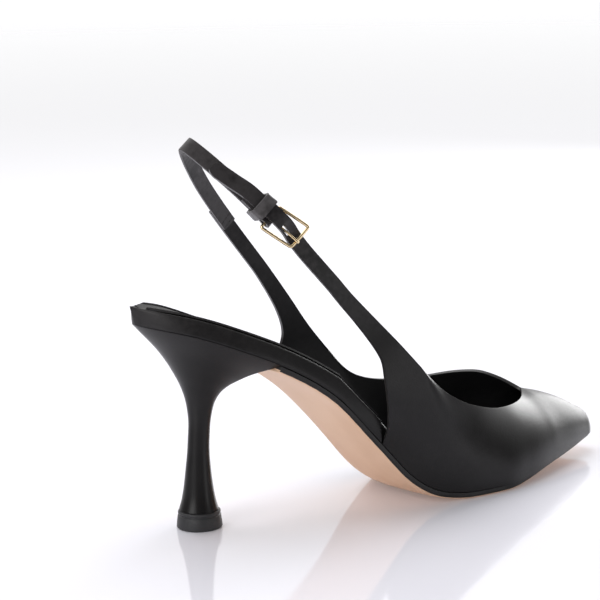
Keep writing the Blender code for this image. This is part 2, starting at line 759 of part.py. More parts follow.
def heel_outline():
    """Round ring of radius one and seat ring in metres, point for point from lateral corner."""
    corner = (BREAST_PLACE + BREAST_HOLLOW) / SHOE_LENGTH
    rear = REAR_TUCK / SHOE_LENGTH
    round_ring, seat_ring = [], []
    for side, order in ((LATERAL, 1), (MEDIAL, -1)):
        steps = np.linspace(1.0, 0.0, HEEL_SIDE + 1)[::order]
        for s in steps[:-1] if side == LATERAL else steps:
            angle = math.pi - (math.pi - CORNER_ANGLE) * s
            round_ring.append((math.cos(angle), side * math.sin(angle)))
            place = rear + (corner - rear) * (1 - math.cos(s * math.pi / 2))
            seat_ring.append((feather_x(place), side * half_width(side, place)))
    for v in np.linspace(1.0, -1.0, HEEL_FRONT + 2)[1:-1]:
        angle = CORNER_ANGLE * v
        round_ring.append((math.cos(angle), math.sin(angle)))
        side = LATERAL if v < 0 else MEDIAL
        place = (BREAST_PLACE + BREAST_HOLLOW * v * v) / SHOE_LENGTH
        seat_ring.append((feather_x(place), side * half_width(side, place) * abs(v)))
    return np.array(round_ring), np.array(seat_ring)


def make_heel(material, ring_count=26):
    """Covered heel: a slim neck that flares down to its tip and up into the seat."""
    round_ring, seat_ring = heel_outline()
    axis_z = feather_z(feather_along(0.0))
    foot = (TIP_HEIGHT + GAP) / axis_z
    rings = []
    for share in np.linspace(0.0, 1.0, ring_count):
        level = foot + (1 - foot) * share
        read = HEEL_RINGS[0].level + (1 - HEEL_RINGS[0].level) * share
        seat = float(column(HEEL_RINGS, "seat", read))
        tilt = float(column(HEEL_RINGS, "tilt", read))
        radius = float(column(HEEL_RINGS, "radius", read)) * NECK_RADIUS
        shift = float(column(HEEL_RINGS, "shift", read)) * NECK_RADIUS
        plan = (1 - seat) * (round_ring * radius + np.array([shift, 0.0])) + seat * seat_ring
        ring = []
        for x, y in plan:
            under_seat = feather_z(feather_along(x)) - axis_z
            ring.append((x, y, level * axis_z - GAP * share + tilt * under_seat))
        rings.append(np.array(ring))
    return ring_solid("heel", rings, material, 45.0)


def make_top_piece(material):
    """Round heel tip that stands on the floor."""
    bpy.ops.mesh.primitive_cone_add(
        vertices=36, radius1=TIP_RADIUS, radius2=TIP_RADIUS - TIP_TAPER, depth=TIP_HEIGHT,
        location=(0.0, 0.0, TIP_HEIGHT / 2))
    tip = take_active("top_piece", material)
    bevel = tip.modifiers.new("soft edge", "BEVEL")
    bevel.width = TIP_EDGE
    bevel.segments = 2
    bevel.limit_method = "ANGLE"
    return tip


def take_active(name, material):
    """Name the object just made, give it its material and file it with the part."""
    body = bpy.context.active_object
    body.name = name
    body.data.name = name
    for collection in list(body.users_collection):
        collection.objects.unlink(body)
    PART.objects.link(body)
    body.data.materials.append(material)
    body.data.shade_smooth()
    body.data.set_sharp_from_angle(angle=math.radians(40.0))
    return body


def bar_depth():
    """Depth of the buckle's bar below the loop's face: the middle of the doubled sling."""
    return -(UPPER_WALL + GAP)


def sling_path():
    """Sling's middle line from its folded end to the medial strap, with the fold's outward way."""
    centre, out = bar_frame()[:2]
    forward = np.cross(out, STRAP_WIDE)
    if forward @ bar_frame()[2] < 0:
        forward = -forward
    leg = (SLING_THICKNESS + GAP) / 2
    bend = WIRE_RADIUS + GAP + SLING_THICKNESS / 2
    straight = BAR_PLACE + 1.7 * bend
    path = []
    for length in np.linspace(BAR_PLACE + TURN_BACK, straight, 7):
        path.append((on_strap(length, 0.0, bar_depth() + leg), strap_flat(length)[1]))
    for degrees in range(120, -121, -24):
        angle = math.radians(degrees)
        spoke = forward * math.cos(angle) + out * math.sin(angle)
        path.append((centre + spoke * bend, spoke))
    slotted = len(path)
    end = 2 * HALF_LOOP - MEDIAL_END + SLING_OVERLAP
    for length in np.concatenate([[straight], np.linspace(straight + 0.002, end, 58)]):
        path.append((on_strap(length, 0.0, bar_depth() - leg), -strap_flat(length)[1]))
    return path, range(6, slotted)


def make_sling(material):
    """Sling strap: folded round the bar, round the back of the heel to the medial strap."""
    path, slotted = sling_path()
    lines = (-STRAP_WIDTH / 2, -PRONG_SLOT / 2, PRONG_SLOT / 2, STRAP_WIDTH / 2)
    half = SLING_THICKNESS / 2
    verts, faces = [], []
    for point, way in path:
        verts += [point + STRAP_WIDE * across + way * half for across in lines]
        verts += [point + STRAP_WIDE * across - way * half for across in lines]

    def kept(i, j):
        return 0 <= i < len(path) - 1 and 0 <= j < 3 and not (j == 1 and i in slotted)

    for i in range(len(path) - 1):
        for j in range(3):
            if not kept(i, j):
                continue
            a, b = i * 8 + j, i * 8 + 8 + j
            faces.append((a, b, b + 1, a + 1))
            faces.append((a + 4, a + 5, b + 5, b + 4))
            for near, (p, q) in (((i - 1, j), (a, a + 1)), ((i + 1, j), (b + 1, b)),
                                 ((i, j - 1), (b, a)), ((i, j + 1), (a + 1, b + 1))):
                if not kept(*near):
                    faces.append((p, q, q + 4, p + 4))
    return object_from("sling_strap", verts, faces, material, 45.0)


def combine(body, guide, operation):
    """Exact Boolean with a guide, which is kept out of the part."""
    for collection in list(guide.users_collection):
        collection.objects.unlink(guide)
    CUTTERS.objects.link(guide)
    guide.hide_render = True
    guide.display_type = "WIRE"
    join = body.modifiers.new(guide.name, "BOOLEAN")
    join.operation = operation
    join.solver = "EXACT"
    join.object = guide


def box_guide(name, middle, axes, halves):
    """Box turned to three square axes, for a cut."""
    bpy.ops.mesh.primitive_cube_add(size=2.0)
    box = bpy.context.active_object
    box.name = name
    along, wide = unit(axes[0]), unit(axes[1])
    deep = np.cross(along, wide)
    for vert in box.data.vertices:
        a, b, c = (mark * half for mark, half in zip(vert.co, halves))
        vert.co = tuple(middle + along * a + wide * b + deep * c)
    return box


def bar_frame():
    """Centre of the buckle's bar, the outward direction there and the way to the outer bar."""
    point, out = strap_flat(BAR_PLACE)
    centre = point + out * bar_depth()
    tip_point, tip_out = strap_flat(BAR_PLACE - BUCKLE_LENGTH)
    far = tip_point + tip_out * (GAP + 2 * WIRE_RADIUS)
    return centre, out, unit(far - centre)


def wire(name, points, radius, cyclic, material, resolution=2):
    """Round wire along a list of points, as a mesh."""
    data = bpy.data.curves.new(name, "CURVE")
    data.dimensions = "3D"
    data.bevel_depth = radius
    data.bevel_resolution = resolution
    data.use_fill_caps = not cyclic
    spline = data.splines.new("POLY")
    spline.points.add(len(points) - 1)
    for place, point in zip(spline.points, points):
        place.co = (*point, 1.0)
    spline.use_cyclic_u = cyclic
    guide = bpy.data.objects.new(name + "_guide", data)
    PART.objects.link(guide)
    graph = bpy.context.evaluated_depsgraph_get()
    mesh = bpy.data.meshes.new_from_object(guide.evaluated_get(graph))
    work = bmesh.new()
    work.from_mesh(mesh)
    bmesh.ops.remove_doubles(work, verts=work.verts, dist=1e-6)
    bmesh.ops.recalc_face_normals(work, faces=work.faces)
    work.to_mesh(mesh)
    work.free()
    mesh.name = name
    mesh.materials.clear()
    mesh.materials.append(material)
    mesh.shade_smooth()
    body = bpy.data.objects.new(name, mesh)
    PART.objects.link(body)
    bpy.data.objects.remove(guide)
    return body


def make_buckle(material):
    """Wire frame, a little out of square, whose inner bar is held by the sling's fold."""
    centre, out, forward = bar_frame()
    corner = FRAME_CORNER
    long, wide = BUCKLE_LENGTH, BUCKLE_WIDTH / 2 - WIRE_RADIUS
    points = []
    for cx, cy, start in ((long - corner, wide - corner, 0.0), (corner, wide - corner, 90.0),
                          (corner, corner - wide, 180.0), (long - corner, corner - wide, 270.0)):
        for step in range(5):
            angle = math.radians(start + 22.5 * step)
            points.append((cx + corner * math.cos(angle), cy + corner * math.sin(angle)))
    lean = math.tan(BUCKLE_LEAN)
    path = [centre + forward * a + STRAP_WIDE * (b + FRAME_SHIFT + lean * a) for a, b in points]
    return wire("buckle_frame", path, WIRE_RADIUS, True, material, 3)


def make_prong(material):
    """Prong that hooks round the bar, passes through the strap and rests on the outer bar."""
    centre, out, forward = bar_frame()
    side = np.cross(STRAP_WIDE, forward)
    side = side if side @ out > 0 else -side
    hook = WIRE_RADIUS + GAP + PRONG_RADIUS
    points = []
    for degrees in range(-230, 91, 32):
        angle = math.radians(degrees)
        points.append(centre + hook * (forward * math.cos(angle) + side * math.sin(angle)))
    rest = WIRE_RADIUS + GAP + PRONG_RADIUS
    for sweep in PRONG_SWEEP:
        points.append(centre + forward * BUCKLE_LENGTH * sweep.along + side * rest * sweep.height)
    return wire("buckle_prong", points, PRONG_RADIUS, False, material)


def make_keeper(material):
    """Keeper loop that holds the free strap against the sling."""
    room = 1.4 * GAP
    deep = bar_depth() - SLING_THICKNESS - GAP / 2 - room
    lengths = np.linspace(KEEPER_PLACE - KEEPER_WIDTH / 2, KEEPER_PLACE + KEEPER_WIDTH / 2, 5)
    slip = float(column(FREE_STRAP, "slip", KEEPER_PLACE / FREE_END)) * STRAP_WIDTH
    low = -STRAP_WIDTH / 2 - room + min(slip, 0.0)
    high = STRAP_WIDTH / 2 + room + max(slip, 0.0)
    loops = []
    for wall in (0.0, KEEPER_WALL):
        grid = []
        for length in lengths:
            proud = float(column(FREE_STRAP, "lift", length / FREE_END)) * SLING_THICKNESS + room
            corner = KEEPER_CORNER + wall
            outline = rounded_box(low - wall, high + wall, deep - wall, proud + wall, corner)
            grid.append([on_strap(length, a, o) for a, o in outline])
        loops.append(grid)
    inner, outer = np.array(loops)
    rings, count = inner.shape[:2]
    verts = np.concatenate([outer.reshape(-1, 3), inner.reshape(-1, 3)])
    faces = []
    offset = rings * count
    for j in range(count):
        k = (j + 1) % count
        for i in range(rings - 1):
            for base in (0, offset):
                faces.append((base + i * count + j, base + i * count + k,
                              base + (i + 1) * count + k, base + (i + 1) * count + j))
        faces.append((j, k, offset + k, offset + j))
        end = (rings - 1) * count
        faces.append((end + j, end + k, offset + end + k, offset + end + j))
    return object_from("keeper", verts, faces, material, 45.0)


def rounded_box(left, right, bottom, top, radius, steps=3):
    """Outline of a box with round corners."""
    outline = []
    inner_left, inner_right = left + radius, right - radius
    low, high = bottom + radius, top - radius
    for cx, cy, start in ((inner_right, high, 0.0), (inner_left, high, 90.0),
                          (inner_left, low, 180.0), (inner_right, low, 270.0)):
        for step in range(steps + 1):
            angle = math.radians(start + 90.0 * step / steps)
            outline.append((cx + radius * math.cos(angle), cy + radius * math.sin(angle)))
    return outline


def cut_prong_hole(upper):
    """Hole in the free strap where the prong comes through."""
    centre, out, forward = bar_frame()
    middle = centre + forward * HOLE_PLACE + out * 1.5 * UPPER_WALL
    halves = (HOLE_LENGTH / 2, PRONG_RADIUS + GAP, 2 * UPPER_WALL)
    combine(upper, box_guide("hole_guide", middle, (forward, STRAP_WIDE), halves), "DIFFERENCE")


def finish(name, colour, roughness, metallic=0.0):
    """Principled material with a plain colour."""
    material = bpy.data.materials.new(name)
    material.use_nodes = True
    shader = material.node_tree.nodes["Principled BSDF"]
    shader.inputs["Base Color"].default_value = (*colour, 1.0)
    shader.inputs["Roughness"].default_value = roughness
    shader.inputs["Metallic"].default_value = metallic
    material.diffuse_color = (*colour, 1.0)
    return material


def clear_scene():
    """Remove what a new file starts with."""
    for old in list(bpy.data.objects):
        bpy.data.objects.remove(old)


def new_collection(name):
    """Collection linked to the scene."""
    collection = bpy.data.collections.new(name)
    bpy.context.scene.collection.children.link(collection)
    return collection


clear_scene()
PART = new_collection("slingback_pump")
CUTTERS = new_collection("cutters")

upper_body = make_upper(finish("upper leather", (0.018, 0.016, 0.016), 0.42))
make_footbed(finish("footbed leather", (0.020, 0.018, 0.019), 0.45))
make_outsole(finish("outsole leather", (0.72, 0.53, 0.36), 0.60))
make_heel(finish("heel cover leather", (0.018, 0.017, 0.017), 0.40))
make_top_piece(finish("top piece rubber", (0.030, 0.030, 0.032), 0.55))
make_sling(finish("strap leather", (0.022, 0.020, 0.020), 0.48))
make_buckle(finish("frame brass", (0.80, 0.62, 0.36), 0.22, 1.0))
make_prong(finish("prong brass", (0.80, 0.62, 0.36), 0.25, 1.0))
make_keeper(finish("keeper leather", (0.020, 0.018, 0.018), 0.50))
cut_prong_hole(upper_body)
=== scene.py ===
"""Looks of the slingback pump: each leather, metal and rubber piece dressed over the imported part.

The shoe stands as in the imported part, toe along +X, inner side along +Y, +Z up, in metres.
Every piece takes its form or its place from the solids, so nothing is fitted by eye.
"""
from __future__ import annotations

import json
import logging
import math
from collections.abc import Callable, Iterable
from dataclasses import dataclass
from enum import Enum

import bmesh
import bpy
import numpy as np
from mathutils import Matrix, Vector

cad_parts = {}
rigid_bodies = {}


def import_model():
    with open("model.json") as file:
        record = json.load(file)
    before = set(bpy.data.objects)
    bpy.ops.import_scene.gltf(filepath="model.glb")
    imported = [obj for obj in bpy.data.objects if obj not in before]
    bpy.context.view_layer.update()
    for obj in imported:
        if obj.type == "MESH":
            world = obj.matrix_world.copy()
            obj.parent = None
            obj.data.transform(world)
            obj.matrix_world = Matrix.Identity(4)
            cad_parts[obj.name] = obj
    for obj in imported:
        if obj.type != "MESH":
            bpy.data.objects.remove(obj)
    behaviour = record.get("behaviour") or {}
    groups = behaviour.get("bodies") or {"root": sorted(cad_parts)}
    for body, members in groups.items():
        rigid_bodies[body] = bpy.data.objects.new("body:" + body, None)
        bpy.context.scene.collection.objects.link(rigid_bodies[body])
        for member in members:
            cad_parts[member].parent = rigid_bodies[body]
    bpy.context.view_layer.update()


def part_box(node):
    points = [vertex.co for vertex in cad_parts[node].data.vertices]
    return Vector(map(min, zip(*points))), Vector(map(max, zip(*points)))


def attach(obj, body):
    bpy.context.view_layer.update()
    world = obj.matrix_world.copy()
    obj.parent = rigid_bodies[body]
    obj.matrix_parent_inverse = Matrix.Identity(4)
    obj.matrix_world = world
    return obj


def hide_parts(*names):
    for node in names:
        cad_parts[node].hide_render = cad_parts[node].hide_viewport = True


log = logging.getLogger("slingback_pump")

Colour = tuple[float, float, float]
Point = tuple[float, float, float]
Number = "float | Socket"

MM = 0.001
WELD = 0.004 * MM                # corners closer than this are one
STILL = 0.002 * MM               # a crease moves no corner by less than this
ON_LEVEL = 0.001 * MM            # a corner this close to a level is on it
QUAD_FOLD = math.radians(60.0)   # most bend of two triangles joined into one face
QUAD_SHAPE = math.radians(70.0)  # most that its corners are off square
SHARP = 50.0                     # degrees from which an edge is sharp
SMOOTHING = 2                    # usual steps of subdivision


class Part(Enum):
    """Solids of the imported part."""

    UPPER = "upper"
    FOOTBED = "footbed"
    OUTSOLE = "outsole"
    HEEL = "heel"
    TOP_PIECE = "top_piece"
    SLING = "sling_strap"
    FRAME = "buckle_frame"
    PRONG = "buckle_prong"
    KEEPER = "keeper"


class Wall(Enum):
    """Faces of a leather wall, by the material slot that they take."""

    OUTSIDE = 0
    LINING = 1
    EDGE = 2


class Socket:
    """Output of a shader node, with arithmetic that adds Math nodes."""

    def __init__(self, graph: "Graph", output: bpy.types.NodeSocket) -> None:
        """Keep the graph and the output.

        Args:
            graph: Graph that the node is in.
            output: The node's output.
        """
        self.graph = graph
        self.output = output

    def math(self, operation: str, first: Number, second: Number = 0.0) -> "Socket":
        """Add a Math node.

        Args:
            operation: Name of the operation.
            first: Left value.
            second: Right value.

        Returns:
            The result.
        """
        return self.graph.node("ShaderNodeMath", {"operation": operation}, {0: first, 1: second})

    def __add__(self, other: Number) -> "Socket":
        """Sum."""
        return self.math("ADD", self, other)

    def __radd__(self, other: float) -> "Socket":
        """Sum, number first."""
        return self.math("ADD", other, self)

    def __sub__(self, other: Number) -> "Socket":
        """Difference."""
        return self.math("SUBTRACT", self, other)

    def __rsub__(self, other: float) -> "Socket":
        """Difference, number first."""
        return self.math("SUBTRACT", other, self)

    def __mul__(self, other: Number) -> "Socket":
        """Product."""
        return self.math("MULTIPLY", self, other)

    def __rmul__(self, other: float) -> "Socket":
        """Product, number first."""
        return self.math("MULTIPLY", other, self)

    def size(self) -> "Socket":
        """Value without its sign."""
        return self.math("ABSOLUTE", self)

    def between(self, low: float, high: float) -> "Socket":
        """Smooth step.

        Args:
            low: Value that gives 0.
            high: Value that gives 1.

        Returns:
            The step.
        """
        settings = {"interpolation_type": "SMOOTHSTEP"}
        return self.graph.node("ShaderNodeMapRange", settings, {0: self, 1: low, 2: high})


class Graph:
    """Node graph of a material or of the world, with its main shader."""

    def __init__(self, holder: bpy.types.Material | bpy.types.World,
                 shader: str = "Principled BSDF") -> None:
        """Start a graph.

        Args:
            holder: Material or world that the graph is for.
            shader: Name of its main shader.
        """
        holder.use_nodes = True
        self.holder = holder
        self.tree = holder.node_tree
        self.shader = self.tree.nodes[shader]

    def node(self, kind: str, settings: dict | None = None, values: dict | None = None,
             output: int | str = 0) -> Socket:
        """Add any node.

        Args:
            kind: Type of the node.
            settings: Properties of the node, set first.
            values: Value or link of each input, by index or name.
            output: Which output to return.

        Returns:
            That output.
        """
        made = self.tree.nodes.new(kind)
        for name, value in (settings or {}).items():
            setattr(made, name, value)
        for name, value in (values or {}).items():
            self._feed(made.inputs[name], value)
        return Socket(self, made.outputs[output])

    def _feed(self, socket: bpy.types.NodeSocket, value: object) -> None:
        """Link a socket or set its constant.

        Args:
            socket: Input to fill.
            value: Socket, number or colour.
        """
        if isinstance(value, Socket):
            self.tree.links.new(value.output, socket)
        elif isinstance(value, tuple) and len(value) == 3 and socket.type == "RGBA":
            socket.default_value = (*value, 1.0)
        else:
            socket.default_value = value

    def set(self, **values: object) -> None:
        """Fill the shader's own sockets.

        Args:
            values: Socket names, with underscores for spaces, and their values.
        """
        for name, value in values.items():
            self._feed(self.shader.inputs[name.replace("_", " ")], value)

    def place(self) -> Socket:
        """Object coordinates."""
        return self.node("ShaderNodeTexCoord", output="Object")

    def axis(self, name: str) -> Socket:
        """Object coordinate along the axis of that name."""
        return self.node("ShaderNodeSeparateXYZ", None, {0: self.place()}, name)

    def stretched(self, scale: Point) -> Socket:
        """Object coordinates, scaled along each axis."""
        return self.node("ShaderNodeMapping", None, {"Vector": self.place(), "Scale": scale})

    def noise(self, scale: float, detail: float, vector: Socket | None = None) -> Socket:
        """Soft noise.

        Args:
            scale: Features per metre.
            detail: Octaves.
            vector: Coordinates, or the object's own.

        Returns:
            Value around one half.
        """
        values = {"Vector": vector or self.place(), "Scale": scale, "Detail": detail}
        return self.node("ShaderNodeTexNoise", None, values)

    def pores(self, scale: float) -> Socket:
        """Cell pattern of leather grain.

        Args:
            scale: Cells per metre.

        Returns:
            Distance from each cell's middle.
        """
        settings = {"feature": "SMOOTH_F1"}
        values = {"Vector": self.place(), "Scale": scale, "Smoothness": 0.35, "Randomness": 1.0}
        return self.node("ShaderNodeTexVoronoi", settings, values)

    def mix(self, share: Number, first: object, second: object) -> Socket:
        """Mix two colours.

        Args:
            share: 0 for the first, 1 for the second.
            first: Colour or socket.
            second: Colour or socket.

        Returns:
            The mixed colour.
        """
        values = {"Factor": share, 6: first, 7: second}
        return self.node("ShaderNodeMix", {"data_type": "RGBA"}, values, 2)

    def bump(self, height: Socket, depth: float, strength: float = 1.0,
             under: Socket | None = None) -> Socket:
        """Bumped normal.

        Args:
            height: Height from 0 to 1.
            depth: Relief in metres.
            strength: Share of the effect.
            under: Normal to add to.

        Returns:
            The normal.
        """
        values = {"Height": height, "Distance": depth, "Strength": strength}
        if under:
            values["Normal"] = under
        return self.node("ShaderNodeBump", None, values)


@dataclass(frozen=True)
class Leather:
    """Smooth dyed leather: satin, with fine pores, softer, lighter clouds of rubbing in places, and
    a painted sheen that lightens it towards the top.
    """

    name: str
    colour: Colour = (0.0058, 0.0050, 0.0051)
    # lighter clouds: wear in part, and in some leathers raised to carry painted sheen as well
    rub_and_sheen: Colour = (0.0088, 0.0078, 0.0080)
    # painted sheen: the lighter colour that the leather takes towards the top of the shoe
    top_sheen: Colour = (0.0380, 0.0345, 0.0350)
    roughness: float = 0.34
    wander: float = 0.08
    pit_wander: float = 0.05
    specular: float = 0.26
    coat: float = 0.05
    coat_roughness: float = 0.25
    pores: float = 1500.0
    pore_depth: float = 0.020 * MM
    clouds: float = 38.0
    smudges: float = 420.0
    ripples: float = 60.0
    ripple_depth: float = 0.10 * MM
    # heights over which the painted sheen comes in
    top_sheen_from: float = 0.055
    top_sheen_to: float = 0.125

    def material(self) -> bpy.types.Material:
        """Build the finish.

        Returns:
            The material.
        """
        graph = Graph(bpy.data.materials.new(self.name))
        cloud = graph.noise(self.clouds, 4.0)
        fine = graph.noise(self.smudges, 3.0)
        # painted sheen: a mask rising towards the top, which picks the lighter colour and lifts the
        # clouds
        top_sheen = graph.axis("Z").between(self.top_sheen_from, self.top_sheen_to)
        rub_and_sheen = (cloud * 0.7 + fine * 0.3 + top_sheen * 0.10).between(0.42, 0.66)
        pit = graph.pores(self.pores).between(0.15, 0.75)
        normal = graph.bump(graph.noise(self.ripples, 2.0), self.ripple_depth)
        graph.set(
            Base_Color=graph.mix(rub_and_sheen, self.colour, graph.mix(top_sheen, self.rub_and_sheen, self.top_sheen)),
            Roughness=(cloud - 0.5) * self.wander + (pit - 0.4) * self.pit_wander + self.roughness,
            Specular_IOR_Level=self.specular,
            Coat_Weight=self.coat,
            Coat_Roughness=self.coat_roughness,
            Normal=graph.bump(1.0 - pit, self.pore_depth, 0.6, normal),
        )
        return graph.holder


@dataclass(frozen=True)
class HeelCover(Leather):
    """Leather drawn tight over the heel, closed by a seam down its breast."""

    clouds: float = 45.0
    seam_width: float = 0.35 * MM
    seam_fade: float = 2.0 * MM
    seam_depth: float = 0.25 * MM

    def material(self) -> bpy.types.Material:
        """Build the finish.

        Returns:
            The material.
        """
        graph = Graph(bpy.data.materials.new(self.name))
        breast = graph.axis("X").between(0.0, self.seam_fade)
        seam = (1.0 - graph.axis("Y").size().between(0.0, self.seam_width)) * breast
        cloud = graph.noise(self.clouds, 3.0)
        pit = graph.pores(self.pores).between(0.15, 0.75)
        normal = graph.bump(1.0 - seam, self.seam_depth)
        graph.set(
            Base_Color=graph.mix(cloud.between(0.4, 0.7), self.colour, self.rub_and_sheen),
            Roughness=(cloud - 0.5) * self.wander + self.roughness,
            Specular_IOR_Level=self.specular,
            Coat_Weight=self.coat,
            Coat_Roughness=self.coat_roughness,
            Normal=graph.bump(1.0 - pit, self.pore_depth, 0.5, normal),
        )
        return graph.holder


@dataclass(frozen=True)
class SoleLeather:
    """Natural tan sole leather: matt, faintly clouded, with short fibres and pores."""

    name: str
    colour: Colour = (0.880, 0.610, 0.430)
    cloud: Colour = (0.800, 0.530, 0.360)
    pit: Colour = (0.45, 0.27, 0.16)
    roughness: float = 0.55
    wander: float = 0.16
    fibre_depth: float = 0.03 * MM

    def material(self) -> bpy.types.Material:
        """Build the finish.

        Returns:
            The material.
        """
        graph = Graph(bpy.data.materials.new(self.name))
        cloud = graph.noise(30.0, 5.0)
        fibre = graph.noise(900.0, 3.0, graph.stretched((0.25, 1.0, 1.0)))
        speck = graph.pores(700.0).between(0.02, 0.22)
        tone = graph.mix(cloud.between(0.35, 0.75), self.colour, self.cloud)
        tone = graph.mix((1.0 - speck) * 0.10, tone, self.pit)
        tone = graph.mix((fibre - 0.5).size() * 0.35, tone, self.cloud)
        graph.set(
            Base_Color=tone,
            Roughness=(cloud - 0.5) * self.wander + self.roughness,
            Specular_IOR_Level=0.35,
            Normal=graph.bump(fibre * 0.7 + speck * 0.3, self.fibre_depth, 0.7),
        )
        return graph.holder


@dataclass(frozen=True)
class PolishedBrass:
    """Pale gold plating with faint polishing marks and a little wear."""

    name: str
    colour: Colour = (0.870, 0.690, 0.420)
    dull: Colour = (0.700, 0.520, 0.300)
    roughness: float = 0.16
    smear_wander: float = 0.10
    mark_wander: float = 0.04
    mark_depth: float = 0.004 * MM

    def material(self) -> bpy.types.Material:
        """Build the finish.

        Returns:
            The material.
        """
        graph = Graph(bpy.data.materials.new(self.name))
        marks = graph.noise(2600.0, 2.0, graph.stretched((1.0, 1.0, 0.2)))
        smear = graph.noise(240.0, 3.0)
        graph.set(
            Base_Color=graph.mix(smear.between(0.45, 0.8), self.colour, self.dull),
            Metallic=1.0,
            Roughness=(smear - 0.5) * self.smear_wander + (marks - 0.5) * self.mark_wander
            + self.roughness,
            Normal=graph.bump(marks, self.mark_depth, 0.5),
        )
        return graph.holder


@dataclass(frozen=True)
class Rubber:
    """Moulded heel-tip rubber: dark grey, matt, with a fine mould texture."""

    name: str
    colour: Colour = (0.036, 0.036, 0.038)
    scuff: Colour = (0.075, 0.072, 0.072)
    roughness: float = 0.50
    wander: float = 0.18
    texture_depth: float = 0.015 * MM

    def material(self) -> bpy.types.Material:
        """Build the finish.

        Returns:
            The material.
        """
        graph = Graph(bpy.data.materials.new(self.name))
        cloud = graph.noise(160.0, 4.0)
        texture = graph.noise(3200.0, 2.0)
        graph.set(
            Base_Color=graph.mix(cloud.between(0.5, 0.8), self.colour, self.scuff),
            Roughness=(cloud - 0.5) * self.wander + self.roughness,
            Specular_IOR_Level=0.40,
            Normal=graph.bump(texture, self.texture_depth, 0.5),
        )
        return graph.holder


@dataclass(frozen=True)
class Thread:
    """Waxed sewing thread."""

    name: str
    colour: Colour = (0.020, 0.018, 0.018)
    wax: Colour = (0.035, 0.032, 0.032)
    twist_depth: float = 0.02 * MM

    def material(self) -> bpy.types.Material:
        """Build the finish.

        Returns:
            The material.
        """
        graph = Graph(bpy.data.materials.new(self.name))
        twist = graph.noise(4200.0, 2.0, graph.stretched((1.0, 0.4, 1.0)))
        graph.set(
            Base_Color=graph.mix(twist, self.colour, self.wax),
            Roughness=twist * 0.2 + 0.35,
            Normal=graph.bump(twist, self.twist_depth, 0.6),
        )
        return graph.holder


@dataclass(frozen=True)
class Crease:
    """Soft trough (negative rise) or ridge along a line."""

    start: Point
    end: Point
    width: float
    rise: float


